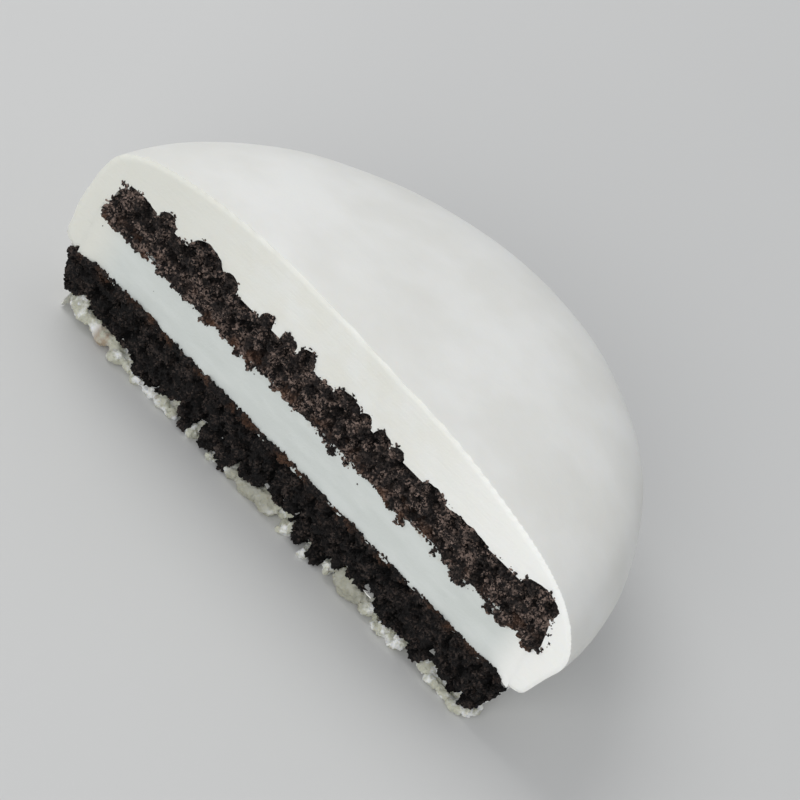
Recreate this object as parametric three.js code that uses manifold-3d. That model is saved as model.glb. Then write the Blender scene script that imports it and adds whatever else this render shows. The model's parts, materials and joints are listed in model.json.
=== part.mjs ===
// Half of a chocolate sandwich cookie dipped in white coating, cut straight down and lying on its base.
// Millimetres, +Z up. While it is made, the cut lies in the plane y = 0 and the food is behind it;
// the last lines move the origin to the middle of the underside of its box.
import * as THREE from 'three';
import { mergeVertices } from 'three/addons/utils/BufferGeometryUtils.js';
import Module from 'manifold-3d';

const wasm = await Module();
wasm.setup();

// Coating, outside. The girth is its widest level; the foot draws in below it.
const coatRadius = 23.85;
const coatHeight = 17.85;
const girthLevel = 10;
const footDraw = 0.09;
const footPower = 1.8;
const footRound = 1.1;
const domeRadialPower = 2.4;
const domeRisePower = 2.9;
const outOfRound = 0.26;
const threeLobes = 0.32;
const wallRipple = 0.08;

// How the dipped cookie sits askew: the lower wafer slid to one side, its coat with it, and the top
// set sloping. Each middle is given from the middle of the cut; the leans are sideways per height.
const girthMiddle = [0.35, -0.37];
const footLean = [0.19, 0.05];
const topSlope = 0.028;

// Sandwich inside.
const waferRimDraw = 0.5;
const waferRimRound = 1.2;
const upperWafer = { creamFace: 9.4, outerFace: 13.0, radius: 22.5, relief: 21.3, middle: [0.2, -0.4] };
const lowerWafer = { creamFace: 5.5, outerFace: 1.8, radius: 22.0, relief: 19.9, middle: [-1.0, -0.7] };
const creamRadius = 21.7;
const creamBulge = 0.35;
const creamMiddle = [-0.35, -0.5];
const clearance = 0.3;

// Raised relief of each wafer where the cut crosses it: [place along the cut, half width, height],
// and how far it runs in where that isn't all the way.
const upperRidges = [
  [-16.8, 0.9, 0.9], [-12.9, 1.6, 1.45], [-10.5, 0.8, 0.95], [-6.6, 0.6, 0.9], [-4.5, 0.7, 0.9],
  [-2.6, 0.8, 1.1], [1.5, 1.3, 0.85], [3.3, 0.6, 0.75], [5.0, 0.75, 0.75], [6.6, 0.55, 0.7],
  [10.2, 1.0, 0.45], [20.1, 1.5, 1.0, 3],
];
const lowerRidges = [
  [-13.0, 2.6, 0.9], [-9.0, 0.8, 0.9], [-6.7, 0.8, 0.9], [-4.9, 0.9, 0.9], [-2.4, 1.2, 0.6],
  [2.9, 1.0, 0.9], [4.8, 0.8, 0.9], [11.2, 1.2, 0.7], [14.5, 1.1, 0.9], [18.6, 1.6, 0.9],
];

// Teeth of the lower relief that were torn bare at the cut, down to just above the plate.
const tornTeeth = [-9.0, -6.7, -4.9, 2.9, 4.8, 14.5];
const toothTip = 0.12;
const toothHalfWidth = 0.75;
const toothDepth = 1.2;

// The cut itself: crumb torn rough, coating and filling sliced flat.
const crumbRoughness = 0.22;
const crumbSetBack = 0.1;
const crumbCell = 0.95;
const skinStep = 1.3;
const skinTornMost = 1.5;

// Fineness.
const roundSteps = 72;
const wallSteps = 9;
const domeSteps = 12;
const cutterReach = 60;

// ---------------------------------------------------------------- solids

function solidOf(geometry) {
  geometry.deleteAttribute('normal');
  geometry.deleteAttribute('uv');
  const merged = mergeVertices(geometry, 1e-4);
  const corners = merged.index.array;
  const kept = [];
  for (let i = 0; i < corners.length; i += 3) {
    const [a, b, c] = corners.subarray(i, i + 3);
    if (a !== b && b !== c && c !== a) kept.push(a, b, c);
  }
  return new wasm.Manifold(new wasm.Mesh({
    numProp: 3,
    vertProperties: new Float32Array(merged.attributes.position.array),
    triVerts: new Uint32Array(kept),
  }));
}

function geometryOf(solid) {
  const mesh = solid.getMesh();
  const geometry = new THREE.BufferGeometry();
  geometry.setAttribute('position', new THREE.BufferAttribute(mesh.vertProperties, 3));
  geometry.setIndex(new THREE.BufferAttribute(mesh.triVerts, 1));
  geometry.computeVertexNormals();
  return geometry;
}

function eachPoint(geometry, change) {
  const place = geometry.attributes.position;
  const point = new THREE.Vector3();
  for (let i = 0; i < place.count; i += 1) {
    point.fromBufferAttribute(place, i);
    change(point);
    place.setXYZ(i, point.x, point.y, point.z);
  }
  return geometry;
}

// A round solid from its half outline, listed upwards as [radius, height].
function turned(outline) {
  const points = outline.map(([radius, height]) => new THREE.Vector2(radius, height));
  return new THREE.LatheGeometry(points, roundSteps).rotateX(Math.PI / 2);
}

function block(x, y, z) {
  const size = new THREE.Vector3(x[1] - x[0], y[1] - y[0], z[1] - z[0]);
  const box = new THREE.BoxGeometry(size.x, size.y, size.z);
  return box.translate(x[0] + size.x / 2, y[0] + size.y / 2, z[0] + size.z / 2);
}

// A repeatable value from -1 to 1 for a place, for broken and crumbly surfaces.
function grain(a, b) {
  const value = Math.sin(a * 12.9898 + b * 78.233) * 43758.5453;
  return 2 * (value - Math.floor(value)) - 1;
}

// ---------------------------------------------------------------- coating, outside

function coatOutline() {
  const wallRadius = (z) => coatRadius * (1 - footDraw * ((girthLevel - z) / girthLevel) ** footPower);
  const rise = coatHeight - girthLevel;
  const outline = [[0, 0], [wallRadius(0) - footRound, 0]];
  for (let i = 1; i <= wallSteps; i += 1) {
    const z = girthLevel * (i / wallSteps) ** 1.4;
    const pulledIn = footRound * Math.max(0, 1 - z / footRound) ** 2;
    outline.push([wallRadius(z) - pulledIn, z]);
  }
  for (let i = 1; i <= domeSteps; i += 1) {
    const turn = (i / domeSteps) * Math.PI / 2;
    const radius = coatRadius * Math.cos(turn) ** (2 / domeRadialPower);
    outline.push([i === domeSteps ? 0 : radius, girthLevel + rise * Math.sin(turn) ** (2 / domeRisePower)]);
  }
  return outline;
}

// Takes the coat out of round, slopes its top and leans its foot aside.
function settleCoat(point) {
  const around = Math.atan2(point.y, point.x);
  const radius = Math.hypot(point.x, point.y);
  const wave = -outOfRound * Math.sin(2 * around) - threeLobes * Math.cos(3 * around - 1.1)
    + wallRipple * Math.sin(7 * around + 0.4 * point.z);
  const waved = 1 + (wave * (radius / coatRadius) ** 4) / coatRadius;
  const slopeShare = THREE.MathUtils.smoothstep(point.z, 6, 15);
  point.z -= topSlope * point.x * waved * slopeShare;
  const below = Math.max(0, girthLevel - point.z);
  point.x = point.x * waved + girthMiddle[0] - footLean[0] * below;
  point.y = point.y * waved + girthMiddle[1] - footLean[1] * below;
}

// ---------------------------------------------------------------- wafers and filling

// One wafer, larger by `grow` all round when it is used to hollow the coating.
function waferSolid({ creamFace, outerFace, radius, relief, middle }, ridges, grow) {
  const out = Math.sign(outerFace - creamFace);
  const near = creamFace - out * grow;
  const far = outerFace + out * grow;
  const outline = [[0, near], [radius + grow, near]];
  for (let i = 0; i <= 4; i += 1) {
    const turn = (i / 4) * Math.PI / 2;
    const edge = radius + grow - waferRimDraw - waferRimRound * (1 - Math.cos(turn));
    outline.push([edge, far - out * waferRimRound * (1 - Math.sin(turn))]);
  }
  outline.push([0, far]);
  const disc = solidOf(turned(out > 0 ? outline : outline.reverse()).translate(...middle, 0));
  const limits = [[0, -1], [relief + grow, -1], [relief + grow, 20], [0, 20]];
  const reach = solidOf(turned(limits).translate(...middle, 0));
  const bars = ridges.map(([x, half, height, length = cutterReach]) => (
    ridgeBar(x, half, height, outerFace, out, length, grow)
  ));
  return disc.add(wasm.Manifold.union(bars).intersect(reach));
}

// A bar with a rounded back on a wafer's outer face, from just before the cut inwards.
function ridgeBar(x, half, height, face, out, length, grow) {
  const root = face - out;
  const shape = new THREE.Shape();
  shape.moveTo(x - half - grow, root);
  for (let i = 0; i <= 6; i += 1) {
    const turn = Math.PI * (1 - i / 6);
    shape.lineTo(x + (half + grow) * Math.cos(turn), face + out * (height + grow) * Math.sin(turn) ** 0.7);
  }
  shape.lineTo(x + half + grow, root);
  shape.closePath();
  const bar = new THREE.ExtrudeGeometry(shape, { depth: length + grow + 2, bevelEnabled: false, steps: 1 });
  return solidOf(bar.rotateX(Math.PI / 2).translate(0, length + grow, 0));
}

function lowerWaferSolid(grow) {
  const height = lowerWafer.outerFace - toothTip;
  const teeth = tornTeeth.map((x) => (
    ridgeBar(x, toothHalfWidth, height, lowerWafer.outerFace, -1, toothDepth, grow)
  ));
  return waferSolid(lowerWafer, lowerRidges, grow).add(wasm.Manifold.union(teeth));
}

function creamSolid(grow) {
  const low = lowerWafer.creamFace + clearance - grow;
  const high = upperWafer.creamFace - clearance + grow;
  const outline = [[0, low]];
  for (let i = 0; i <= 6; i += 1) {
    const share = i / 6;
    outline.push([creamRadius + grow + creamBulge * Math.sin(Math.PI * share), low + (high - low) * share]);
  }
  outline.push([0, high]);
  return solidOf(turned(outline).translate(...creamMiddle, 0));
}

// ---------------------------------------------------------------- the cut and what broke off

const infront = solidOf(block([-cutterReach, cutterReach], [-cutterReach, 0], [-5, 30]));

// Everything in front of the cut, with a crumbly face instead of a flat one.
function crumblyInfront() {
  const width = 52;
  const height = 18;
  const cells = [Math.round(width / crumbCell), 1, Math.round(height / crumbCell)];
  const slab = new THREE.BoxGeometry(width, 40, height, ...cells).translate(0, -20, height / 2 - 2);
  return solidOf(eachPoint(slab, (point) => {
    if (point.y < -1) return;
    const column = Math.round(point.x / crumbCell * 2);
    const row = Math.round(point.z / crumbCell * 2);
    point.y = crumbSetBack + crumbRoughness * grain(column, row);
  }));
}

// A scoop knocked out of the coating, with facets like broken chocolate.
function chip(middle, radii) {
  const lump = new THREE.IcosahedronGeometry(1, 2);
  return solidOf(eachPoint(lump, (point) => {
    const dent = 1 + 0.12 * grain(Math.round(point.x * 9), Math.round(point.y * 9 + point.z * 31));
    point.set(
      middle[0] + radii[0] * point.x * dent,
      middle[1] + radii[1] * point.y * dent,
      middle[2] + radii[2] * point.z * dent,
    );
  }));
}

// The thin skin under the lower wafer, torn back from the cut along a ragged line.
function tornSkin() {
  const shape = new THREE.Shape();
  shape.moveTo(-cutterReach / 2, -2);
  shape.lineTo(cutterReach / 2, -2);
  const steps = Math.round(2 * coatRadius / skinStep);
  for (let i = steps; i >= 0; i -= 1) {
    const x = -coatRadius + 2 * coatRadius * (i / steps) + 0.3 * grain(i, 3);
    shape.lineTo(x, 0.15 + skinTornMost * Math.abs(grain(i, 8)) ** 1.5);
  }
  shape.closePath();
  const skin = new THREE.ExtrudeGeometry(shape, { depth: 3.2, bevelEnabled: false, steps: 1 });
  return solidOf(skin.translate(0, 0, -1));
}

// ---------------------------------------------------------------- the four pieces

const crumbCut = crumblyInfront();

function coatingSolid() {
  const stack = [
    waferSolid(upperWafer, upperRidges, clearance),
    lowerWaferSolid(clearance),
    creamSolid(clearance),
  ];
  const lost = [
    infront,
    tornSkin(),
    chip([24.3, -0.6, 1.9], [3.6, 4.6, 3.9]),
    chip([-25.2, -0.4, 3.1], [2.6, 3.2, 2.2]),
  ];
  const whole = solidOf(eachPoint(turned(coatOutline()), settleCoat));
  return whole.subtract(wasm.Manifold.union(stack)).subtract(wasm.Manifold.union(lost));
}

const coatingFinish = new THREE.MeshStandardMaterial({ color: 0xe4e4dc, roughness: 0.45, metalness: 0 });
const crumbFinish = new THREE.MeshStandardMaterial({ color: 0x2a211d, roughness: 0.95, metalness: 0 });
const creamFinish = new THREE.MeshStandardMaterial({ color: 0xdfe3de, roughness: 0.6, metalness: 0 });

function piece(name, solid, finish) {
  const mesh = new THREE.Mesh(geometryOf(solid), finish);
  mesh.name = name;
  return mesh;
}

const group = new THREE.Group();
group.add(
  piece('coating', coatingSolid(), coatingFinish),
  piece('wafer_top', waferSolid(upperWafer, upperRidges, 0).subtract(crumbCut), crumbFinish),
  piece('cream', creamSolid(0).subtract(infront), creamFinish),
  piece('wafer_bottom', lowerWaferSolid(0).subtract(crumbCut), crumbFinish),
);

const box = new THREE.Box3().setFromObject(group);
const middle = box.getCenter(new THREE.Vector3());
group.position.set(-middle.x, -middle.y, -box.min.z);

export default group;
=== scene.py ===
"""Half of a white-coated chocolate sandwich cookie, cut straight down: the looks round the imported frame."""

import json
import math
import random

import bpy
from bpy.props import FloatProperty, FloatVectorProperty, PointerProperty
from mathutils import Matrix, Vector

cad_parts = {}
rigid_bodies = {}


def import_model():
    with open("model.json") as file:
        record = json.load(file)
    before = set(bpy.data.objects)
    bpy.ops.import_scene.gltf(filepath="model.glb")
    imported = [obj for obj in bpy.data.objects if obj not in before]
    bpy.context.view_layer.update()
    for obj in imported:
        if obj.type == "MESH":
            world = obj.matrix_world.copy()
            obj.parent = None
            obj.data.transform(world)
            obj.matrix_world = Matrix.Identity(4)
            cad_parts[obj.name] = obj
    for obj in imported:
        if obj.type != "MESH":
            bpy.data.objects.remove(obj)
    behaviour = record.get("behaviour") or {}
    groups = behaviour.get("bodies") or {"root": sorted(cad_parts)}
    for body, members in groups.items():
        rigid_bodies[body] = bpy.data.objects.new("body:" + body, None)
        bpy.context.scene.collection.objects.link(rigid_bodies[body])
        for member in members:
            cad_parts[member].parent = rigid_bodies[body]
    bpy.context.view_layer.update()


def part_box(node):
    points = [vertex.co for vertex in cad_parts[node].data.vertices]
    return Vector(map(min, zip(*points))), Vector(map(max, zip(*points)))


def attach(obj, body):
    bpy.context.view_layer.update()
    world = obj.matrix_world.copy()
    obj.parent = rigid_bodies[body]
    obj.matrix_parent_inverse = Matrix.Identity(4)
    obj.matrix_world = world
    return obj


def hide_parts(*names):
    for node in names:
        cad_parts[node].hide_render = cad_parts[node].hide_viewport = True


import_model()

bl_info = {
    "name": "Cut Sandwich Cookie",
    "version": (1, 0, 0),
    "blender": (4, 5, 0),
    "location": "3D View > Sidebar > Cookie",
    "description": "Makes the coating, wafers, filling and crumbs of a cut, white-coated sandwich cookie",
    "category": "Object",
}

MM = 0.001
FILLING_LOW, FILLING_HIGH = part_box("cream")
COAT_LOW, COAT_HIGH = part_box("coating")
CUT_Y = FILLING_LOW.y
FILLING_OFF_MIDDLE = -0.35 * MM
MIDDLE_X = (FILLING_LOW.x + FILLING_HIGH.x) / 2 - FILLING_OFF_MIDDLE
WELD = 0.002 * MM
FLOOR_CLEAR = 0.02 * MM
DISC_SEGMENTS = 160
BAR_SEGMENTS = 56
BLOCK_DEPTH = 30 * MM
MARK_STEP = 0.15 * MM

# Raised relief of each wafer where the cut crosses it, in millimetres:
# (place along the cut, half width, height).
UPPER_RELIEF = (
    (-19.3, 1.4, 0.35), (-16.8, 0.9, 0.95), (-12.9, 1.7, 1.5), (-10.5, 0.9, 1.0), (-6.6, 0.65, 0.95),
    (-4.5, 0.75, 0.95), (-2.6, 0.85, 1.15), (1.5, 1.35, 0.9), (3.3, 0.65, 0.8), (5.0, 0.8, 0.8),
    (6.6, 0.6, 0.75), (10.2, 1.1, 0.5), (13.6, 1.8, 0.3), (20.3, 1.7, 1.05),
)
LOWER_RELIEF = (
    (-13.0, 2.8, 0.95), (-9.0, 0.8, 1.65), (-6.7, 0.75, 1.65), (-4.9, 0.9, 1.7), (-2.4, 1.2, 0.55),
    (2.9, 1.0, 1.6), (4.8, 0.8, 1.6), (6.4, 0.5, 0.8), (11.2, 1.2, 0.7), (13.0, 0.7, 0.5),
    (14.6, 0.8, 1.35), (18.6, 1.7, 0.95),
)

# Clumps of crumb that hang from the upper wafer into the filling: (place along the cut, height, radius).
HANGING_CRUMB = (
    (-21.6, 10.0, 0.35), (-17.2, 9.4, 0.45), (-15.9, 9.3, 0.3), (-10.8, 9.2, 0.45), (-7.6, 8.9, 0.45),
    (-6.3, 9.0, 0.4), (-3.9, 9.3, 0.3), (2.3, 8.9, 0.65), (2.6, 8.5, 0.42), (3.4, 9.2, 0.6),
    (7.9, 9.2, 0.35), (9.0, 8.9, 0.4), (8.9, 8.55, 0.3), (12.2, 9.0, 0.32), (14.6, 9.0, 0.45),
    (15.1, 8.8, 0.3), (17.6, 9.0, 0.5), (18.8, 8.9, 0.5), (21.2, 9.3, 0.3), (22.3, 10.3, 0.45),
)


def at(x, y, z):
    """A place in metres from millimetres along the cut, behind the cut and above the plate."""
    return Vector((MIDDLE_X + x * MM, CUT_Y + y * MM, z * MM))


# ---------------------------------------------------------------- sizes and colours a user would change


class CookieSizes(bpy.types.PropertyGroup):
    """Sizes of the cut cookie."""

    coat_radius: FloatProperty(
        name="Coat Radius", description="Half width at the widest level", default=23.85 * MM, unit="LENGTH")
    coat_height: FloatProperty(
        name="Coat Height", description="Plate to the top of the dome", default=17.85 * MM, unit="LENGTH")
    girth_level: FloatProperty(
        name="Girth Level", description="Height of the widest level", default=10 * MM, unit="LENGTH")
    foot_draw: FloatProperty(
        name="Foot Draw", description="Share of the radius that the foot draws in by", default=0.09)
    top_slope: FloatProperty(
        name="Top Slope", description="How far the top leans to one side", default=0.028, unit="ROTATION")
    wafer_radius: FloatProperty(
        name="Wafer Radius", description="Radius of the upper wafer", default=22.4 * MM, unit="LENGTH")
    lower_radius: FloatProperty(
        name="Lower Wafer Radius", description="Radius of the lower wafer", default=22.2 * MM, unit="LENGTH")
    filling_radius: FloatProperty(
        name="Filling Radius", description="Radius of the filling", default=21.95 * MM, unit="LENGTH")
    crumb_voxel: FloatProperty(
        name="Crumb Fineness", description="Mesh size of the torn crumb", default=0.09 * MM, unit="LENGTH")


class CookieColours(bpy.types.PropertyGroup):
    """Base colours of the cut cookie."""

    coat: FloatVectorProperty(
        name="Coat", description="Smooth white coat", subtype="COLOR", default=(0.80, 0.80, 0.765))
    cut_coat: FloatVectorProperty(
        name="Cut Coat", description="Sliced white coat", subtype="COLOR", default=(0.83, 0.835, 0.79))
    filling: FloatVectorProperty(
        name="Filling", description="White filling", subtype="COLOR", default=(0.68, 0.71, 0.68))
    crumb: FloatVectorProperty(
        name="Crumb", description="Dark chocolate crumb", subtype="COLOR", default=(0.008, 0.0065, 0.006))
    crumb_light: FloatVectorProperty(
        name="Light Crumb", description="Paler grains of the crumb", subtype="COLOR",
        default=(0.24, 0.175, 0.145))
    crumb_red: FloatVectorProperty(
        name="Red Crumb", description="Crumb soaked by the filling", subtype="COLOR",
        default=(0.13, 0.06, 0.03))
    torn: FloatVectorProperty(
        name="Torn Skin", description="Broken skin under the lower wafer", subtype="COLOR",
        default=(0.50, 0.50, 0.41))


# ---------------------------------------------------------------- handling objects


def activate(obj):
    """Makes obj the only selected object and the active one."""
    bpy.ops.object.select_all(action="DESELECT")
    obj.select_set(True)
    bpy.context.view_layer.objects.active = obj
    return obj


def fix_place(obj):
    """Puts obj's place, turn and scale into its mesh."""
    activate(obj)
    bpy.ops.object.transform_apply(location=True, rotation=True, scale=True)
    return obj


def added(name):
    """The object that an operator has just added, renamed, with its place in its mesh."""
    obj = bpy.context.active_object
    obj.name = obj.data.name = name
    return fix_place(obj)


def finish_with(obj, kind, **settings):
    """Adds a modifier with these settings and applies it."""
    modifier = obj.modifiers.new(kind.title(), kind)
    for key, value in settings.items():
        setattr(modifier, key, value)
    activate(obj)
    bpy.ops.object.modifier_apply(modifier=modifier.name)
    return obj


def combine(obj, operation, *others):
    """Joins, cuts or intersects obj with each of the others, which then go."""
    for other in others:
        finish_with(obj, "BOOLEAN", operation=operation, object=other, solver="MANIFOLD")
        bpy.data.objects.remove(other)
    return obj


def joined(name, objects):
    """The objects as one, with the first one's name changed to name."""
    activate(objects[0])
    for obj in objects:
        obj.select_set(True)
    bpy.ops.object.join()
    obj = bpy.context.active_object
    obj.name = obj.data.name = name
    return obj


def copied(obj, name):
    """A copy of obj with a mesh of its own."""
    twin = obj.copy()
    twin.data = obj.data.copy()
    twin.name = twin.data.name = name
    bpy.context.scene.collection.objects.link(twin)
    return twin


def edit(obj, kind, picked):
    """Enters edit mode with only those vertices or edges selected that picked says."""
    activate(obj)
    bpy.ops.object.mode_set(mode="EDIT")
    bpy.ops.mesh.select_mode(type=kind)
    bpy.ops.mesh.select_all(action="DESELECT")
    bpy.ops.object.mode_set(mode="OBJECT")
    mesh = obj.data
    if kind == "VERT":
        for vertex in mesh.vertices:
            vertex.select = picked(vertex.co)
    else:
        for edge in mesh.edges:
            edge.select = picked(*(mesh.vertices[i].co for i in edge.vertices))
    bpy.ops.object.mode_set(mode="EDIT")


def leave_edit():
    """Goes back to object mode."""
    bpy.ops.object.mode_set(mode="OBJECT")


def outward(obj):
    """Merges doubled corners and turns every face outwards."""
    activate(obj)
    bpy.ops.object.mode_set(mode="EDIT")
    bpy.ops.mesh.select_all(action="SELECT")
    bpy.ops.mesh.remove_doubles(threshold=WELD)
    bpy.ops.mesh.normals_make_consistent(inside=False)
    leave_edit()
    return obj


def clouds(name, size, depth=2, band=None):
    """A cloudy texture with lumps of that size, for moving a mesh's surface. band gives the two levels
    between which it goes from 0 to 1."""
    texture = bpy.data.textures.new(name, type="CLOUDS")
    texture.noise_scale = size
    texture.noise_depth = depth
    if band:
        texture.use_color_ramp = True
        ends = texture.color_ramp.elements
        ends[0].position, ends[1].position = band
        ends[0].color, ends[1].color = (0, 0, 0, 1), (1, 1, 1, 1)
    return texture


def cells(name, size):
    """A texture of rounded cells of that size, highest at their borders."""
    texture = bpy.data.textures.new(name, type="VORONOI")
    texture.noise_scale = size
    texture.noise_intensity = 1.0
    return texture


def roughen(obj, texture, strength, direction="NORMAL", group="", stretch=None, level=0.5):
    """Moves obj's surface by a texture: by strength for each step of 1 above level. group is a vertex group
    that limits it, and stretch widens the pattern along x, y and z."""
    settings = {"texture": texture, "strength": strength, "direction": direction, "mid_level": level}
    if group:
        settings["vertex_group"] = group
    if stretch is None:
        return finish_with(obj, "DISPLACE", texture_coords="LOCAL", **settings)
    bpy.ops.object.empty_add(type="PLAIN_AXES", scale=stretch)
    guide = bpy.context.active_object
    guide.scale = stretch
    bpy.context.view_layer.update()
    finish_with(obj, "DISPLACE", texture_coords="OBJECT", texture_coords_object=guide, **settings)
    bpy.data.objects.remove(guide)
    return obj


def weigh(obj, name, weight):
    """A vertex group whose weights come from a function of each vertex's place."""
    group = obj.vertex_groups.new(name=name)
    for vertex in obj.data.vertices:
        group.add([vertex.index], max(0.0, min(1.0, weight(vertex.co))), "REPLACE")
    return name


def ramp(value, low, high):
    """0 at low, 1 at high, smooth between."""
    t = max(0.0, min(1.0, (value - low) / (high - low)))
    return t * t * (3 - 2 * t)


def flatten_base(obj):
    """Flattens onto the plate whatever reaches below it."""
    edit(obj, "VERT", lambda co: co.z < FLOOR_CLEAR)
    bpy.ops.transform.resize(value=(1, 1, 0), center_override=(0, 0, FLOOR_CLEAR))
    leave_edit()
    return obj


def soften_rim(sheet, body, reach):
    """Draws a cutting sheet back near body's skin, so that the cut meets the skin in a small round."""
    group = sheet.vertex_groups.new(name="rim")
    group.add(range(len(sheet.data.vertices)), 1.0, "REPLACE")
    finish_with(sheet, "VERTEX_WEIGHT_PROXIMITY", vertex_group="rim", target=body, proximity_mode="GEOMETRY",
                proximity_geometry={"FACE"}, min_dist=reach, max_dist=0.0, falloff_type="SHARP")
    return finish_with(
        sheet, "DISPLACE", strength=0.6 * reach, mid_level=0.0, direction="Y", vertex_group="rim")


def drop_grains(obj, picked):
    """Takes away every loose grain of obj that has a corner where picked says."""
    edit(obj, "VERT", picked)
    bpy.ops.mesh.select_linked()
    bpy.ops.mesh.delete(type="VERT")
    leave_edit()


def grain_shapes(count, seed):
    """A few angular grains about one unit across, in a collection of their own."""
    grains = bpy.data.collections.new(f"grains {seed}")
    rng = random.Random(seed)
    for i in range(count):
        bpy.ops.mesh.primitive_ico_sphere_add(subdivisions=1, radius=0.5)
        bpy.context.active_object.scale = (1, rng.uniform(0.6, 0.95), rng.uniform(0.5, 0.85))
        grain = added("grain")
        edit(grain, "VERT", lambda co: True)
        bpy.ops.transform.vertex_random(offset=0.16, seed=seed + i)
        leave_edit()
        for owner in list(grain.users_collection):
            owner.objects.unlink(grain)
        grains.objects.link(grain)
    return grains


def scattered(name, base, group, per_mm2, sizes, grains, seed):
    """Grains strewn over base where the vertex group says, as one mesh. sizes are the least and the most
    in millimetres."""
    strewn = copied(base, name)
    tree = bpy.data.node_groups.new(name, "GeometryNodeTree")
    for way in ("INPUT", "OUTPUT"):
        tree.interface.new_socket("Geometry", in_out=way, socket_type="NodeSocketGeometry")

    def node(kind, settings=None, **inputs):
        new = tree.nodes.new(kind)
        for key, value in (settings or {}).items():
            setattr(new, key, value)
        for key, value in inputs.items():
            socket = new.inputs[key.replace("_", " ")]
            if isinstance(value, bpy.types.NodeSocket):
                tree.links.new(value, socket)
            else:
                socket.default_value = value
        return new

    source = node("NodeGroupInput").outputs[0]
    weight = node("GeometryNodeInputNamedAttribute", {"data_type": "FLOAT"}, Name=group)
    density = node("ShaderNodeMath", {"operation": "MULTIPLY"})
    tree.links.new(weight.outputs["Attribute"], density.inputs[0])
    density.inputs[1].default_value = per_mm2 / MM ** 2
    points = node("GeometryNodeDistributePointsOnFaces", {"distribute_method": "RANDOM"},
                  Mesh=source, Density=density.outputs[0], Seed=seed)
    turn = node("FunctionNodeRandomValue", {"data_type": "FLOAT_VECTOR"}, Seed=seed + 1)
    turn.inputs["Max"].default_value = (math.tau, math.tau, math.tau)
    size = node("FunctionNodeRandomValue", {"data_type": "FLOAT"}, Seed=seed + 2)
    low, high = (socket for socket in size.inputs if socket.enabled and socket.name in ("Min", "Max"))
    low.default_value, high.default_value = sizes[0] * MM, sizes[1] * MM
    shapes = node("GeometryNodeCollectionInfo", {}, Collection=grains, Separate_Children=True,
                  Reset_Children=True)
    placed = node("GeometryNodeInstanceOnPoints", {}, Points=points.outputs["Points"],
                  Instance=shapes.outputs[0], Pick_Instance=True)
    tree.links.new(turn.outputs[0], placed.inputs["Rotation"])
    amount = next(socket for socket in size.outputs if socket.enabled)
    tree.links.new(amount, placed.inputs["Scale"])
    real = node("GeometryNodeRealizeInstances", {}, Geometry=placed.outputs[0])
    end = node("NodeGroupOutput")
    tree.links.new(real.outputs[0], end.inputs[0])
    finish_with(strewn, "NODES", node_group=tree)
    return strewn


# ---------------------------------------------------------------- materials


class Signal:
    """A number that changes over a surface. Arithmetic on it adds Math nodes."""

    def __init__(self, surface, socket):
        self.surface = surface
        self.socket = socket

    def _math(self, operation, first, second=0.0, clamp=False):
        node = self.surface.node("ShaderNodeMath", {"operation": operation, "use_clamp": clamp},
                                 {0: first, 1: second})
        return Signal(self.surface, node.outputs[0])

    def __add__(self, other):
        return self._math("ADD", self, other)

    __radd__ = __add__

    def __mul__(self, other):
        return self._math("MULTIPLY", self, other)

    __rmul__ = __mul__

    def __sub__(self, other):
        return self._math("SUBTRACT", self, other)

    def __rsub__(self, other):
        return self._math("SUBTRACT", other, self)

    def span(self, low, high):
        """0 at low and below, 1 at high and above, smooth between."""
        node = self.surface.node("ShaderNodeMapRange", {"interpolation_type": "SMOOTHSTEP"},
                                 {"Value": self, "From Min": low, "From Max": high})
        return Signal(self.surface, node.outputs["Result"])

    def held(self):
        """The same, kept from 0 to 1."""
        return self._math("ADD", self, 0.0, clamp=True)


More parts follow.
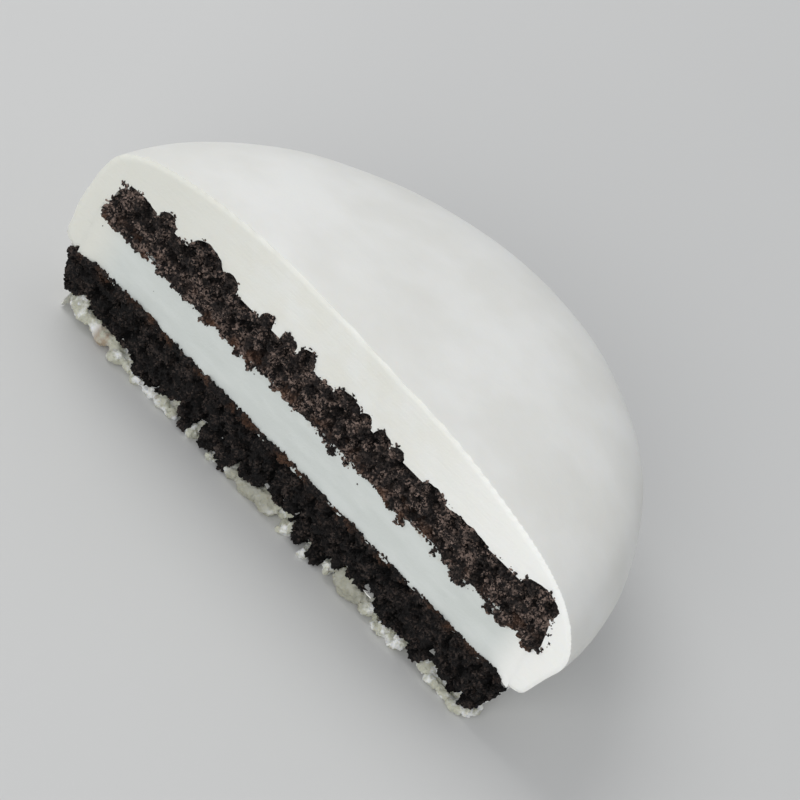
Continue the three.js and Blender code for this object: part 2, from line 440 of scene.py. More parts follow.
class Surface:
    """One material, built node by node."""

    def __init__(self, name, **fixed):
        self.material = bpy.data.materials.new(name)
        self.material.use_nodes = True
        self.tree = self.material.node_tree
        self.shader = self.tree.nodes["Principled BSDF"]
        for key, value in fixed.items():
            self.shader.inputs[key.replace("_", " ")].default_value = value
        place = self.node("ShaderNodeTexCoord")
        self.place = place.outputs["Object"]
        parts = self.node("ShaderNodeSeparateXYZ", {}, {"Vector": self.place})
        self.x, self.y, self.z = (Signal(self, parts.outputs[axis]) for axis in "XYZ")

    def node(self, kind, settings=None, inputs=None):
        """Adds a node: its settings first, then the values or links of its sockets."""
        node = self.tree.nodes.new(kind)
        for key, value in (settings or {}).items():
            setattr(node, key, value)
        for key, value in (inputs or {}).items():
            socket = node.inputs[key]
            if isinstance(value, Signal):
                value = value.socket
            if isinstance(value, bpy.types.NodeSocket):
                self.tree.links.new(value, socket)
            else:
                socket.default_value = value
        return node

    def feed(self, name, value):
        """Links a signal or a socket to the shader."""
        self.tree.links.new(getattr(value, "socket", value), self.shader.inputs[name])

    def noise(self, size, detail=3.0, roughness=0.55, place=None):
        """Soft noise with lumps of about that size, in metres."""
        node = self.node("ShaderNodeTexNoise", {}, {
            "Vector": place or self.place, "Scale": 1 / size, "Detail": detail, "Roughness": roughness})
        return Signal(self, node.outputs["Fac"])

    def grains(self, size):
        """Cells of about that size: the distance to the nearest, and each cell's own random number."""
        node = self.node("ShaderNodeTexVoronoi", {"feature": "F1"}, {
            "Vector": self.place, "Scale": 1 / size})
        random_part = self.node("ShaderNodeSeparateXYZ", {}, {"Vector": node.outputs["Color"]})
        return Signal(self, node.outputs["Distance"]), Signal(self, random_part.outputs["X"])

    def mix(self, share, low, high):
        """The colour low where share is 0, and high where it is 1. The node's colour sockets go by number,
        as its other kinds have the same names."""
        node = self.node("ShaderNodeMix", {"data_type": "RGBA"}, {"Factor": share})
        for key, colour in ((6, low), (7, high)):
            if isinstance(colour, bpy.types.NodeSocket):
                self.tree.links.new(colour, node.inputs[key])
            else:
                node.inputs[key].default_value = (*colour, 1.0)
        return node.outputs[2]

    def bump(self, height, distance):
        """Bumps of that depth in metres, from a signal that goes from 0 to 1."""
        node = self.node("ShaderNodeBump", {}, {"Height": height, "Distance": distance, "Strength": 1.0})
        self.feed("Normal", node.outputs["Normal"])


# How much darker the sliced coat is at its left end, how much lighter at its right end as a painted
# highlight, and the lightest white.
CUT_LEFT = (0.9, 0.895, 0.86)
CUT_RIGHT_HIGHLIGHT = (1.12, 1.12, 1.12)
LIGHTEST = 0.93


def shaded(colour, factors):
    """The colour with each channel times its factor, up to the lightest white."""
    return [min(LIGHTEST, c * f) for c, f in zip(colour, factors)]


def coat_surface(colours):
    """Smooth satin white coat, faintly mottled."""
    s = Surface("white coat", Specular_IOR_Level=0.42, Subsurface_Weight=0.12, Subsurface_Scale=1.2 * MM)
    s.shader.inputs["Subsurface Radius"].default_value = (1.0, 0.85, 0.65)
    mottle = s.noise(7 * MM)
    fine = s.noise(0.9 * MM)
    pale = [min(1.0, c * 1.03) for c in colours.coat]
    dull = [c * f for c, f in zip(colours.coat, (0.955, 0.95, 0.93))]
    s.feed("Base Color", s.mix(mottle.span(0.3, 0.7), dull, pale))
    s.feed("Roughness", 0.36 + 0.12 * mottle + 0.05 * fine)
    s.bump(0.75 * s.noise(2.2 * MM, 2.0) + 0.25 * s.noise(0.35 * MM, 2.0), 0.035 * MM)
    return s.material


def cut_coat_surface(colours):
    """The coat where the knife went through: duller, with fine drag lines and a cream tinge."""
    s = Surface("sliced coat", Specular_IOR_Level=0.3, Subsurface_Weight=0.12, Subsurface_Scale=1.0 * MM)
    s.shader.inputs["Subsurface Radius"].default_value = (1.0, 0.85, 0.65)
    mottle = s.noise(3.0 * MM)
    cream = [c * f for c, f in zip(colours.cut_coat, (0.97, 0.96, 0.93))]
    middle = s.mix(mottle.span(0.35, 0.7), cream, colours.cut_coat)
    # Darker towards the left end, and lighter towards the right end as a painted highlight.
    left = s.x.span(MIDDLE_X - 3 * MM, MIDDLE_X - 20 * MM)
    right = s.x.span(MIDDLE_X + 2 * MM, MIDDLE_X + 20 * MM)
    greyed = s.mix(left, middle, shaded(colours.cut_coat, CUT_LEFT))
    s.feed("Base Color", s.mix(right, greyed, shaded(colours.cut_coat, CUT_RIGHT_HIGHLIGHT)))
    s.feed("Roughness", 0.5 + 0.1 * mottle)
    drag = s.node("ShaderNodeMapping", {}, {"Vector": s.place, "Scale": (0.25, 1.0, 1.6)})
    lines = s.noise(0.5 * MM, 3.0, place=drag.outputs["Vector"])
    s.bump(0.6 * lines + 0.4 * s.noise(0.2 * MM, 2.0), 0.05 * MM)
    return s.material


def filling_surface(colours):
    """Matt, slightly cool sugar filling with faint smears."""
    s = Surface("filling", Specular_IOR_Level=0.3, Subsurface_Weight=0.15, Subsurface_Scale=1.0 * MM)
    s.shader.inputs["Subsurface Radius"].default_value = (1.0, 0.95, 0.85)
    smear = s.node("ShaderNodeMapping", {}, {"Vector": s.place, "Scale": (0.35, 1.0, 1.3)})
    cloud = s.noise(1.6 * MM, 4.0, place=smear.outputs["Vector"])
    dull = [c * f for c, f in zip(colours.filling, (0.94, 0.945, 0.94))]
    middle = s.mix(cloud.span(0.35, 0.68), dull, colours.filling)
    left = s.x.span(MIDDLE_X - 18.4 * MM, MIDDLE_X - 21.8 * MM)
    right = s.x.span(MIDDLE_X + 18.6 * MM, MIDDLE_X + 21.6 * MM)
    patches = s.noise(0.7 * MM).span(0.5, 0.68) * s.noise(4 * MM).span(0.4, 0.6)
    stain = s.z.span(8.6 * MM, 9.5 * MM) * patches
    # The filling's ends take the sliced coat's tones: darker at the left, and the painted highlight at the
    # right.
    middle = s.mix(left, middle, shaded(colours.cut_coat, CUT_LEFT))
    middle = s.mix(right, middle, shaded(colours.cut_coat, CUT_RIGHT_HIGHLIGHT))
    s.feed("Base Color", s.mix(0.55 * stain, middle, (0.36, 0.29, 0.17)))
    s.feed("Roughness", 0.52 + 0.15 * cloud)
    s.bump(0.6 * cloud + 0.4 * s.noise(0.18 * MM, 2.0), 0.05 * MM)
    return s.material


def crumb_surface(colours, name="wafer crumb"):
    """Near-black crumb: dark grains, some paler, reddish where the filling has soaked in. Painted shade makes
    it darker deeper behind the cut, and the lower wafer the darker one."""
    s = Surface(name, Specular_IOR_Level=0.27)
    distance, pick = s.grains(0.14 * MM)
    fine = s.noise(0.1 * MM, 3.0, 0.6)
    patch = s.noise(1.0 * MM, 2.0)
    # Painted shade: the crumb is darker, with fewer pale grains, deeper behind the cut in its hollows, and
    # all over the lower wafer.
    hollow_shade = s.y.span(CUT_Y + 0.1 * MM, CUT_Y + 0.75 * MM)
    lower = s.z.span(7.5 * MM, 6.5 * MM)
    pale = pick.span(0.3, 1.0) * (0.12 + 0.88 * patch.span(0.42, 0.6)) * (0.4 + fine)
    pale = (1.25 * pale * (1 - 0.95 * hollow_shade) * (1 - 0.8 * lower)).held()
    dark = s.mix((0.75 * lower + 0.5 * hollow_shade).held(), colours.crumb, (0.002, 0.0018, 0.0018))
    base = s.mix(pale, dark, colours.crumb_light)
    soaked = s.z.span(10.8 * MM, 9.4 * MM) * (1 - lower) + 0.8 * lower * s.z.span(4.2 * MM, 5.4 * MM)
    smear = s.noise(1.7 * MM)
    red = (soaked * smear.span(0.47, 0.64) * (0.25 + 0.75 * pick) * (1 - 0.6 * hollow_shade)).held()
    s.feed("Base Color", s.mix(red * 0.75, base, colours.crumb_red))
    s.feed("Roughness", 0.72 + 0.25 * fine)
    s.bump(0.5 * (1 - distance) + 0.5 * fine, 0.05 * MM)
    return s.material


def torn_surface(colours):
    """Broken, lumpy ivory skin with a few brown stains."""
    s = Surface("torn skin", Specular_IOR_Level=0.3, Subsurface_Weight=0.2, Subsurface_Scale=0.8 * MM)
    s.shader.inputs["Subsurface Radius"].default_value = (1.0, 0.85, 0.55)
    cloud = s.noise(0.9 * MM)
    stain = s.noise(2.3 * MM, 2.0)
    x = s.x - MIDDLE_X

    def between(low, high):
        return x.span(low * MM, (low + 0.8) * MM) * x.span(high * MM, (high - 0.8) * MM)

    base = s.mix(cloud.span(0.44, 0.6), colours.torn, (0.76, 0.765, 0.74))
    # Two stretches along the cut are darker grey-beige.
    grey_stretches = (between(-4.6, 0.6) + between(6.0, 10.2)).held()
    base = s.mix(grey_stretches * 0.85, base, (0.34, 0.335, 0.27))
    brown = (stain.span(0.6, 0.7) * 0.6 + between(-18.6, -16.4) * cloud.span(0.4, 0.6)).held()
    s.feed("Base Color", s.mix(brown * 0.8, base, (0.25, 0.16, 0.07)))
    s.feed("Roughness", 0.5 + 0.4 * cloud)
    s.bump(s.noise(0.25 * MM), 0.08 * MM)
    return s.material


def dress(obj, material, *more):
    """Gives obj its materials and smooth shading that keeps the real edges sharp."""
    obj.data.materials.clear()
    for each in (material, *more):
        obj.data.materials.append(each)
    activate(obj)
    bpy.ops.object.shade_smooth_by_angle(angle=math.radians(38))
    return obj


def settle(obj, slot, *nodes):
    """Fixes obj to the frame and hides the CAD nodes that it stands for. slot is not used."""
    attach(obj, "root")
    if nodes:
        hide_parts(*nodes)


# ---------------------------------------------------------------- shapes shared by several pieces


def front_block(low, high, marks, rim=None):
    """A block behind the cut whose front is a fine sheet carrying the marks of the knife.
    rim is a body and the reach of the round where the cut meets its skin."""
    width, height = ((end - start) * MM for start, end in zip(low, high))
    bpy.ops.mesh.primitive_grid_add(
        x_subdivisions=round(width / MARK_STEP), y_subdivisions=round(height / MARK_STEP), size=1,
        location=at((low[0] + high[0]) / 2, 0, (low[1] + high[1]) / 2), rotation=(math.pi / 2, 0, 0))
    bpy.context.active_object.scale = (width, height, 1)
    block = added("knife")
    for texture, strength, stretch in marks:
        roughen(block, texture, strength, "Y", stretch=stretch)
    if rim:
        soften_rim(block, *rim)
    edit(block, "EDGE", lambda a, b: False)
    bpy.ops.mesh.select_all(action="SELECT")
    bpy.ops.mesh.region_to_loop()
    bpy.ops.mesh.extrude_edges_move(TRANSFORM_OT_translate={"value": (0, BLOCK_DEPTH, 0)})
    bpy.ops.mesh.edge_face_add()
    leave_edit()
    return outward(block)


def round_edge(obj, picked, offset, segments):
    """Rounds the edges that picked says."""
    edit(obj, "EDGE", picked)
    bpy.ops.mesh.bevel(offset=offset * MM, segments=segments, affect="EDGES", clamp_overlap=False)
    leave_edit()


def disc(name, middle, radius, low, high, rim_draw, rim_round, out, inner_round=0.0):
    """A plain disc between two heights in millimetres, its outer rim drawn in and rounded, its inner one
    rounded too if inner_round says. out is 1 if the outer face is the upper one, else -1."""
    bpy.ops.mesh.primitive_cylinder_add(
        vertices=DISC_SEGMENTS, radius=radius, depth=(high - low) * MM,
        location=at(middle[0], middle[1], (low + high) / 2))
    obj = added(name)
    outer, inner = (high, low) if out > 0 else (low, high)

    def on(level):
        return lambda *ends: all(abs(end.z - level * MM) < WELD for end in ends)

    edit(obj, "VERT", on(outer))
    k = 1 - rim_draw * MM / radius
    bpy.ops.transform.resize(value=(k, k, 1), center_override=at(middle[0], middle[1], outer))
    leave_edit()
    round_edge(obj, on(outer), rim_round, 5)
    if inner_round:
        round_edge(obj, on(inner), inner_round, 3)
    return outward(obj)


def relief_bars(bars, face, depth):
    """Rounded, uneven bars on a wafer's outer face that run in from the cut."""
    made = []
    for place, half, height in bars:
        bpy.ops.mesh.primitive_cylinder_add(
            vertices=BAR_SEGMENTS, radius=1, depth=(depth + 1) * MM,
            location=at(place, (depth - 1) / 2, face), rotation=(math.pi / 2, 0, 0))
        bpy.context.active_object.scale = (half * MM, height * MM, 1)
        bar = added("relief")
        roughen(bar, clouds("relief x", 0.6 * MM), 0.45 * MM, "X", stretch=(1, 60, 1))
        roughen(bar, clouds("relief z", 0.6 * MM), 0.35 * MM, "Z", stretch=(1, 60, 1))
        made.append(bar)
    return made


def sliced(obj, y, **cleared):
    """Slices obj along a plane y millimetres behind the cut, and clears one side."""
    edit(obj, "VERT", lambda co: True)
    bpy.ops.mesh.bisect(plane_co=at(0, y, 0), plane_no=(0, 1, 0), use_fill=True, threshold=WELD, **cleared)
    leave_edit()
    return obj


def behind(obj, y):
    """Keeps what is further than y millimetres behind the cut."""
    return sliced(obj, y, clear_inner=True)


def before(obj, y):
    """Keeps what is nearer than y millimetres behind the cut."""
    return sliced(obj, y, clear_outer=True)


def lump(name, place, radii, seed, detail, dent):
    """An uneven lump, such as a broken bit or the space that one left, dented by that share of its size."""
    bpy.ops.mesh.primitive_ico_sphere_add(subdivisions=detail, radius=1, location=at(*place))
    bpy.context.active_object.scale = [r * MM for r in radii]
    obj = added(name)
    texture = clouds(f"dents {seed}", 0.9 * max(radii) * MM, 3)
    return roughen(obj, texture, dent * 2 * min(radii) * MM)


# Where the wafers and the filling lie, in millimetres. out is 1 where the outer face is the upper one, torn
# is how far behind the cut the torn part ends, and seat how far the relief reaches into the coat.
UPPER = {
    "middle": (0.2, -0.4), "low": 9.35, "high": 12.95, "out": 1, "torn": 1.9, "seat": 3.2,
    "relief": UPPER_RELIEF,
}
LOWER = {
    "middle": (-1.0, -0.7), "low": 1.8, "high": 5.6, "out": -1, "torn": 2.4, "seat": 1.6,
    "relief": LOWER_RELIEF,
}
WAFER_RIM = {"rim_draw": 0.5, "rim_round": 1.2, "inner_round": 0.6}
FILLING_MIDDLE = (-0.35, -0.5)
FILLING_LEVELS = (5.3, 9.55)
FILLING_SEAT_LEVELS = (4.5, 9.7)


def wafer_disc(name, wafer, radius):
    """A wafer without its relief."""
    return disc(name, wafer["middle"], radius, wafer["low"], wafer["high"], out=wafer["out"], **WAFER_RIM)


def droop(obj):
    """Lowers the lower wafer's upper corner, and the filling on it, at the left end."""
    for vertex in obj.data.vertices:
        x, z = (vertex.co.x - MIDDLE_X) / MM, vertex.co.z / MM
        vertex.co.z -= 0.5 * MM * ramp(x, -19.8, -22.6) * ramp(abs(z - 5.5), 1.6, 0.5)


def wafer_relief(wafer, depth):
    """The relief on a wafer's outer face, from before the cut to depth behind it."""
    return relief_bars(wafer["relief"], wafer["high"] if wafer["out"] > 0 else wafer["low"], depth)


def wafer_seat(wafer, radius):
    """The room that a wafer takes in the coat, a little tight so that the torn crumb fills it."""
    tight = 0.2
    outer = "high" if wafer["out"] > 0 else "low"
    snug = {**wafer, outer: wafer[outer] - tight * wafer["out"]}
    return [wafer_disc("seat", snug, radius - 2 * tight * MM), *wafer_relief(snug, wafer["seat"])]


# ---------------------------------------------------------------- the pieces


class COOKIE_OT_coating(bpy.types.Operator):
    """Make the white coat: dome, wall and underside, open at the cut"""

    bl_idname = "cookie.coating"
    bl_label = "Make Coating"

    wall_rings = 22
    dome_rings = 40
    around = 200

    def levels(self, sizes):
        """(height, radius) of each ring from the foot up: the wall bellies out to the girth, then the dome
        turns in."""
        girth, top, radius = sizes.girth_level, sizes.coat_height, sizes.coat_radius
        foot_round = 1.1 * MM
        for i in range(self.wall_rings + 1):
            z = girth * (i / self.wall_rings) ** 1.3
            drawn = radius * (1 - sizes.foot_draw * ((girth - z) / girth) ** 1.8)
            yield z, drawn - foot_round * max(0.0, 1 - z / foot_round) ** 2
        for i in range(1, self.dome_rings + 1):
            turn = i / self.dome_rings * math.pi / 2
            ring = max(radius * math.cos(turn) ** (2 / 2.4), 0.02 * MM)
            yield girth + (top - girth) * math.sin(turn) ** (2 / 2.9), ring

    def body(self, sizes):
        """The whole dipped cookie, before the cut, built up ring by ring from the foot."""
        levels = list(self.levels(sizes))

        def middle(z):
            below = max(0.0, sizes.girth_level - z) / MM
            return at(0.35 - 0.19 * below, -0.37 - 0.05 * below, z / MM)

        height, radius = levels[0]
        bpy.ops.mesh.primitive_circle_add(vertices=self.around, radius=radius, location=middle(height))
        body = added("coat")
        centre = middle(height)
        for vertex in body.data.vertices:
            offset = vertex.co - centre
            angle = math.atan2(offset.y, offset.x)
            lobes = -0.26 * math.sin(2 * angle) - 0.32 * math.cos(3 * angle - 1.1)
            vertex.co = centre + offset * (1 + lobes * MM / radius)
        edit(body, "EDGE", lambda a, b: True)
        slope = 0.0
        for z, wide in levels[1:]:
            bpy.ops.mesh.extrude_edges_move(TRANSFORM_OT_translate={"value": middle(z) - middle(height)})
            k = wide / radius
            bpy.ops.transform.resize(value=(k, k, k), center_override=middle(z))
            turn = sizes.top_slope * ramp(z / MM, 6, 15)
            if turn > slope:
                bpy.ops.transform.rotate(
                    value=-(turn - slope), orient_axis="Y", orient_type="GLOBAL", center_override=middle(z))
                slope = turn
            height, radius = z, wide
        bpy.ops.mesh.merge(type="CENTER")
        leave_edit()
        edit(body, "EDGE", lambda a, b: a.z < WELD and b.z < WELD)
        bpy.ops.mesh.edge_face_add()
        leave_edit()
        return outward(body)

    def ripple(self, body):
        """The soft waves that the coat set in as it ran down."""
        wall = weigh(body, "wall", lambda co: ramp(co.z / MM, 0.8, 3) * ramp(co.z / MM, 15, 11))
        roughen(body, clouds("folds", 3.2 * MM, 1), 0.75 * MM, group=wall, stretch=(5, 5, 1))
        dome = weigh(body, "dome", lambda co: ramp(co.z / MM, 5, 12))
        roughen(body, clouds("swell", 12 * MM, 1), 0.35 * MM, group=dome)
        return body

    def is_cut(self, place, normal, skin):
        """Whether a face was sliced, or broken open at one of the two low ends, away from the skin."""
        if place.y < CUT_Y + 0.35 * MM and normal.y < -0.6:
            return True
        if place.y >= CUT_Y + 5 * MM or place.z >= 6 * MM or abs(place.x) <= 18 * MM:
            return False
        _found, near, _normal, _index = skin.closest_point_on_mesh(place)
        return (near - place).length > 0.25 * MM

    def seat(self, sizes):
        """The room that the wafers and the filling take in the coat."""
        filling = disc("seat", FILLING_MIDDLE, sizes.filling_radius - 0.08 * MM, *FILLING_SEAT_LEVELS,
                       rim_draw=0.0, rim_round=0.3, out=1)
        return combine(filling, "UNION", *wafer_seat(UPPER, sizes.wafer_radius),
                       *wafer_seat(LOWER, sizes.lower_radius))

    def tear(self):
        """The uneven trough along the cut, where the skin under the lower wafer broke away."""
        bpy.ops.mesh.primitive_cylinder_add(
            vertices=24, radius=1, depth=42.6 * MM, location=at(-0.5, 0, 0), rotation=(0, math.pi / 2, 0))
        bpy.context.active_object.scale = (2.1 * MM, 1.5 * MM, 1)
        trough = added("tear")
        # Rings along it, so that its outline can wave.
        edit(trough, "EDGE", lambda a, b: abs(a.x - b.x) > 40 * MM)
        bpy.ops.mesh.subdivide(number_cuts=60)
        leave_edit()
        return roughen(trough, clouds("tear", 1.6 * MM), 0.8 * MM)

    def execute(self, context):
        sizes, colours = context.scene.cookie_sizes, context.scene.cookie_colours
        coat = behind(self.ripple(self.body(sizes)), -1.5)
        chips = [
            lump("right chip", (24.2, -0.8, 1.8), (4.2, 4.9, 3.5), seed=1, detail=3, dent=0.25),
            lump("right break", (21.9, -0.9, 2.5), (2.6, 3.6, 2.8), seed=3, detail=3, dent=0.25),
            lump("left chip", (-24.7, -0.7, 2.1), (3.4, 4.2, 3.6), seed=2, detail=3, dent=0.2),
        ]
        skin = copied(coat, "skin")
        combine(coat, "DIFFERENCE", *chips)
        finish_with(coat, "REMESH", mode="VOXEL", voxel_size=0.28 * MM, adaptivity=0.0)
        finish_with(coat, "SMOOTH", factor=0.5, iterations=22)
        marks = (
            (clouds("knife sway", 6 * MM, 1), 0.16 * MM, (1, 1, 1)),
            (clouds("knife drag", 0.8 * MM), 0.04 * MM, (5, 1, 1)),
        )
        combine(coat, "INTERSECT", front_block((-26, -1.5), (26, 20), marks, rim=(coat, 0.35 * MM)))
        combine(coat, "DIFFERENCE", self.seat(sizes), self.tear())
        outward(coat)
        dress(coat, coat_surface(colours), cut_coat_surface(colours))
        for face in coat.data.polygons:
            face.material_index = 1 if self.is_cut(face.center, face.normal, skin) else 0
        bpy.data.objects.remove(skin)
        settle(coat, "white_coating", "coating")
        return {"FINISHED"}


class COOKIE_OT_wafers(bpy.types.Operator):
    """Make the two chocolate wafers, torn rough at the cut"""

    bl_idname = "cookie.wafers"
    bl_label = "Make Wafers"

    def torn_front(self, name, wafer, radius, voxel, clumps):
        """The part of a wafer next to the cut: its outline, then torn to grains and pits."""
        depth = wafer["torn"]
        slab = before(behind(wafer_disc(name, wafer, radius), 0.0), depth)
        bars = [behind(before(bar, depth), 0.0) for bar in wafer_relief(wafer, depth + 1)]
        front = combine(slab, "UNION", *bars, *clumps)
        finish_with(front, "REMESH", mode="VOXEL", voxel_size=voxel, adaptivity=0.0)
        before(front, depth - 0.3)
        back, clear = CUT_Y + (depth - 0.4) * MM, CUT_Y + (depth - 0.9) * MM
        inner = (wafer["low"] if wafer["out"] > 0 else wafer["high"]) * MM

        def fray(co):
            """How far the knife tore the crumb: not at the back, and less at the hard left rim."""
            baked = ramp(co.x, MIDDLE_X - 23.4 * MM, MIDDLE_X - 21.8 * MM)
            return ramp(co.y, back, clear) * (0.4 + 0.6 * baked)

        near = weigh(front, "near", fray)
        open_face = weigh(front, "open", lambda co: fray(co) * ramp(abs(co.z - inner), 0.1 * MM, 0.9 * MM))
        # A lip of crumb stands over the edge of the filling.
        lip = weigh(front, "lip", lambda co: (
            ramp(co.y, CUT_Y + 0.6 * MM, CUT_Y) * ramp(abs(co.z - inner), 0.8 * MM, 0.3 * MM)))
        folds = clouds(name + " lip", 2.0 * MM, 1, band=(0.3, 0.6))
        pits = clouds(name + " pits", 0.8 * MM, band=(0.3, 0.5))
        roughen(front, folds, -0.22 * MM, "Y", lip, level=-0.35)
        roughen(front, clouds(name + " lumps", 1.3 * MM), 0.55 * MM, group=near, level=0.46)
        roughen(front, pits, -1.0 * MM, "Y", open_face, level=1.0)
        roughen(front, cells(name + " grains", 0.3 * MM), -0.4 * MM, group=near, level=0.42)
        roughen(front, clouds(name + " grit", 0.2 * MM), 0.3 * MM, group=near)
        droop(front)
        return flatten_base(front)

    def wafer(self, name, wafer, radius, voxel, clumps=()):
        """A whole wafer: the torn part at the cut, and the plain rest, which is hidden."""
        front = self.torn_front(name, wafer, radius, voxel, clumps)
        rest = behind(wafer_disc("rest", wafer, radius - 0.05 * MM), wafer["torn"] - 0.6)
        return joined(name, [front, rest])

    def execute(self, context):
        sizes, colours = context.scene.cookie_sizes, context.scene.cookie_colours
        clumps = [
            lump("clump", (x, 0.35, z), (size, 0.5, size), seed=60 + i, detail=2, dent=0.3)
            for i, (x, z, size) in enumerate(HANGING_CRUMB)
        ]
        upper = self.wafer("wafer_upper", UPPER, sizes.wafer_radius, sizes.crumb_voxel, clumps)
        lower = self.wafer("wafer_lower", LOWER, sizes.lower_radius, sizes.crumb_voxel)
        material = crumb_surface(colours)
        grains = grain_shapes(4, 11)
        for wafer, name, seed in ((upper, "crumbs_upper", 3), (lower, "crumbs_lower", 7)):
            loose = weigh(wafer, "loose", lambda co: ramp(co.y, CUT_Y + 0.7 * MM, CUT_Y + 0.3 * MM))
            crumbs = scattered(name, wafer, loose, 13, (0.1, 0.27), grains, seed)
            if wafer == upper:
                # Those past its ends would lie on the coat.
                middle, reach = at(UPPER["middle"][0], 0, 0).x, 21.95 * MM
                drop_grains(crumbs, lambda co: abs(co.x - middle) >= reach)
            dress(crumbs, material)
            settle(crumbs, "chocolate_wafer")
        dress(upper, material)
        dress(lower, material)
        settle(upper, "chocolate_wafer", "wafer_top")
        settle(lower, "chocolate_wafer", "wafer_bottom")
        return {"FINISHED"}


class COOKIE_OT_filling(bpy.types.Operator):
    """Make the white filling between the wafers"""

    bl_idname = "cookie.filling"
    bl_label = "Make Filling"

    def execute(self, context):
        sizes, colours = context.scene.cookie_sizes, context.scene.cookie_colours
        body = disc("filling", FILLING_MIDDLE, sizes.filling_radius, *FILLING_LEVELS,
                    rim_draw=0.0, rim_round=0.2, out=1)
        marks = (
            (clouds("smear", 2.4 * MM), 0.22 * MM, (3, 1, 1)),
            (clouds("fine smear", 0.5 * MM), 0.05 * MM, (3, 1, 1)),
        )
        combine(body, "INTERSECT", front_block((-24, 4), (24, 11), marks))
        outward(body)

        def rim(co):
            """1 at the filling's upper and lower edge in the cut, 0 away from them."""
            past = max(5.9 * MM - co.z, co.z - 9.1 * MM)
            return ramp(past, 0.0, 0.6 * MM) if co.y < CUT_Y + 0.5 * MM else 0.0

        near = weigh(body, "near", rim)
        roughen(body, clouds("filling edge", 1.6 * MM), 0.75 * MM, "Z", near)
        roughen(body, clouds("filling nicks", 0.4 * MM), 0.3 * MM, "Z", near)
        droop(body)
        dress(body, filling_surface(colours))

        def dust(co):
            """More specks towards the upper wafer, and in some stretches than in others."""
            if co.y > CUT_Y + 0.6 * MM:
                return 0.0
            z = co.z / MM
            x = (co.x - MIDDLE_X) / MM
            shed = max(0.0, math.sin(0.9 * x + 1.3) + 0.6 * math.sin(2.3 * x)) / 1.6
            return ramp(z, 8.3, 9.6) ** 2 * (0.2 + 0.8 * shed) + 0.002

        specks = scattered("specks", body, weigh(body, "dust", dust), 9, (0.07, 0.2), grain_shapes(3, 31), 5)
        drop_grains(specks, lambda co: co.y > CUT_Y + 0.9 * MM)
        dress(specks, crumb_surface(colours, "speck"))
        settle(specks, "chocolate_wafer")
        settle(body, "white_filling", "cream")
        return {"FINISHED"}


# Lumps of the coat's broken lower edge: (place along the cut, height, half width, half height, stand-out).
TORN_LUMPS = (
    (-21.0, 1.2, 0.7, 0.7, 0.1), (-20.3, 1.9, 0.6, 0.5, 0.2), (-19.8, 1.0, 0.8, 0.7, 0.3),
    (-18.7, 1.3, 0.8, 0.8, 0.2), (-17.8, 0.7, 0.8, 0.6, 0.3), (-16.9, 1.1, 0.6, 0.6, 0.1),
    (-16.0, 0.6, 0.9, 0.6, 0.3), (-14.8, 0.7, 0.8, 0.6, 0.1), (-13.7, 0.4, 0.9, 0.6, 0.2),
    (-12.5, 0.4, 0.9, 0.5, 0.1), (-11.3, 0.5, 0.7, 0.6, 0.3), (-10.3, 0.3, 0.5, 0.5, 0.2),
    (-8.0, 0.5, 0.45, 0.55, 0.3), (-5.85, 0.35, 0.45, 0.45, 0.3), (-3.7, 0.7, 1.1, 0.7, 0.2),
    (-2.2, 0.7, 1.5, 0.8, 0.3), (-0.6, 0.9, 1.1, 0.9, 0.2), (1.7, 0.5, 0.5, 0.55, 0.4),
    (2.2, 1.1, 0.4, 0.4, 0.2), (3.9, 0.3, 0.4, 0.3, 0.3), (6.0, 0.8, 0.5, 0.7, 0.2),
    (8.0, 1.1, 1.6, 1.2, 0.35), (9.9, 0.8, 0.7, 0.6, 0.1), (11.1, 0.4, 0.5, 0.4, 0.3),
    (11.9, 0.7, 0.6, 0.6, 0.4), (12.8, 0.3, 0.6, 0.5, 0.3), (13.3, 0.9, 0.5, 0.5, 0.4),
    (15.6, 0.8, 0.7, 0.5, 0.1), (16.7, 0.5, 0.7, 0.4, 0.2), (17.8, 0.35, 0.8, 0.35, 0.1),
    (19.0, 0.4, 0.7, 0.35, 0.2), (20.0, 0.6, 0.6, 0.4, 0.1),
)


class COOKIE_OT_torn_skin(bpy.types.Operator):
    """Make the broken lower edge of the coat, under the lower wafer"""

    bl_idname = "cookie.torn_skin"
    bl_label = "Make Torn Skin"

    def execute(self, context):
        colours = context.scene.cookie_colours
        middle, size = (-0.6, 2.0, 0.9), (40.4, 2.0, 1.7)
        bpy.ops.mesh.primitive_cube_add(size=1, location=at(*middle))
        bpy.context.active_object.scale = [side * MM for side in size]
        strip = added("torn_skin")
        lumps = [
            lump("lump", (x, 1.0 - out, z - 0.1), (wide, 1.0, high), seed=200 + i, detail=2, dent=0.26)
            for i, (x, z, wide, high, out) in enumerate(TORN_LUMPS)
        ]
        combine(strip, "UNION", *lumps)
        finish_with(strip, "REMESH", mode="VOXEL", voxel_size=0.11 * MM, adaptivity=0.0)
        near = weigh(strip, "near", lambda co: ramp(co.y, CUT_Y + 2.2 * MM, CUT_Y + 1.2 * MM))
        roughen(strip, clouds("crust", 0.9 * MM), 0.6 * MM, group=near)
        roughen(strip, clouds("crystals", 0.3 * MM), 0.3 * MM, group=near)
        flatten_base(strip)
        dress(strip, torn_surface(colours))
        settle(strip, "white_coating")
        return {"FINISHED"}


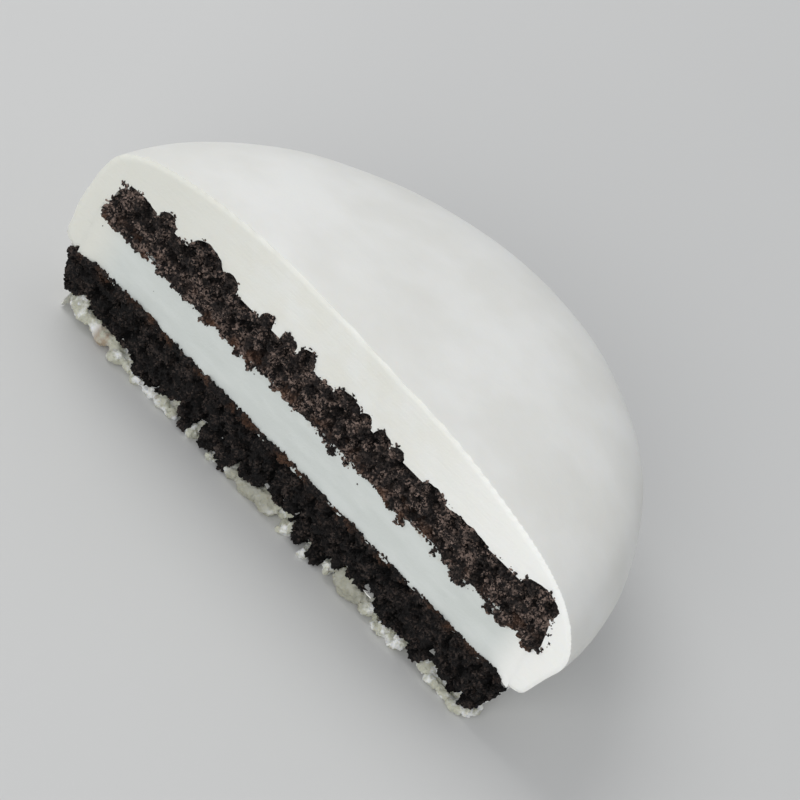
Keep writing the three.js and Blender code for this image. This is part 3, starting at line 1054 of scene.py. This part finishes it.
class COOKIE_OT_stage(bpy.types.Operator):
    """Make the floor, the studio light and the camera"""

    bl_idname = "cookie.stage"
    bl_label = "Make Stage"

    def light(self, name, place, aim, size, power):
        """A round soft light: its place and size in metres, its power in watts."""
        bpy.ops.object.light_add(type="AREA", location=place)
        lamp = bpy.context.active_object
        lamp.name = name
        lamp.data.shape = "DISK"
        lamp.data.size = size
        lamp.data.energy = power
        lamp.rotation_euler = (aim - Vector(place)).to_track_quat("-Z", "Y").to_euler()

    def camera(self, scene, eye, target, up, lens):
        """A camera that looks from eye to target with up upwards in the picture."""
        back = (eye - target).normalized()
        right = up.cross(back).normalized()
        camera = bpy.data.objects.new("camera", bpy.data.cameras.new("camera"))
        scene.collection.objects.link(camera)
        turn = Matrix((right, back.cross(right), back)).transposed()
        camera.matrix_world = Matrix.Translation(eye) @ turn.to_4x4()
        camera.data.lens = lens
        camera.data.clip_start, camera.data.clip_end = 0.01, 10
        scene.camera = camera

    def execute(self, context):
        scene = context.scene
        bpy.ops.mesh.primitive_plane_add(size=2.4, location=(0, 0, 0))
        floor = added("floor")
        s = Surface("pale table", Roughness=0.6, Specular_IOR_Level=0.3)
        tone = s.noise(60 * MM, 2.0)
        s.feed("Base Color", s.mix(tone, (0.60, 0.60, 0.585), (0.64, 0.64, 0.625)))
        floor.data.materials.append(s.material)
        aim = at(0, 10, 8)
        self.light("key", (-0.25, 0.04, 0.31), aim, 0.26, 0.59)
        self.light("front fill", (0.08, -0.52, 0.26), aim, 0.40, 1.45)
        self.light("side fill", (0.48, 0.16, 0.26), aim, 0.40, 0.14)
        world = bpy.data.worlds.new("studio")
        world.use_nodes = True
        world.node_tree.nodes["Background"].inputs["Color"].default_value = (0.93, 0.95, 1.0, 1.0)
        world.node_tree.nodes["Background"].inputs["Strength"].default_value = 0.5
        scene.world = world
        scene.view_settings.view_transform = "Standard"
        self.camera(
            scene, eye=at(89.5, -185.4, 181.3), target=at(0.5, 9.3, 8.2), up=Vector((-0.667, 0.296, 0.684)),
            lens=180)
        return {"FINISHED"}


OPERATORS = (
    COOKIE_OT_stage,
    COOKIE_OT_coating,
    COOKIE_OT_wafers,
    COOKIE_OT_filling,
    COOKIE_OT_torn_skin,
)


class COOKIE_PT_panel(bpy.types.Panel):
    """Buttons that make the cookie's pieces"""

    bl_label = "Cut Sandwich Cookie"
    bl_idname = "COOKIE_PT_panel"
    bl_space_type = "VIEW_3D"
    bl_region_type = "UI"
    bl_category = "Cookie"

    def draw(self, context):
        for operator in OPERATORS:
            self.layout.operator(operator.bl_idname)


CLASSES = (CookieSizes, CookieColours, *OPERATORS, COOKIE_PT_panel)


def register():
    for each in CLASSES:
        bpy.utils.register_class(each)
    bpy.types.Scene.cookie_sizes = PointerProperty(type=CookieSizes)
    bpy.types.Scene.cookie_colours = PointerProperty(type=CookieColours)


def unregister():
    del bpy.types.Scene.cookie_colours
    del bpy.types.Scene.cookie_sizes
    for each in reversed(CLASSES):
        bpy.utils.unregister_class(each)


def main():
    register()
    for operator in OPERATORS:
        group, name = operator.bl_idname.split(".")
        getattr(getattr(bpy.ops, group), name)()


if __name__ == "__main__":
    main()
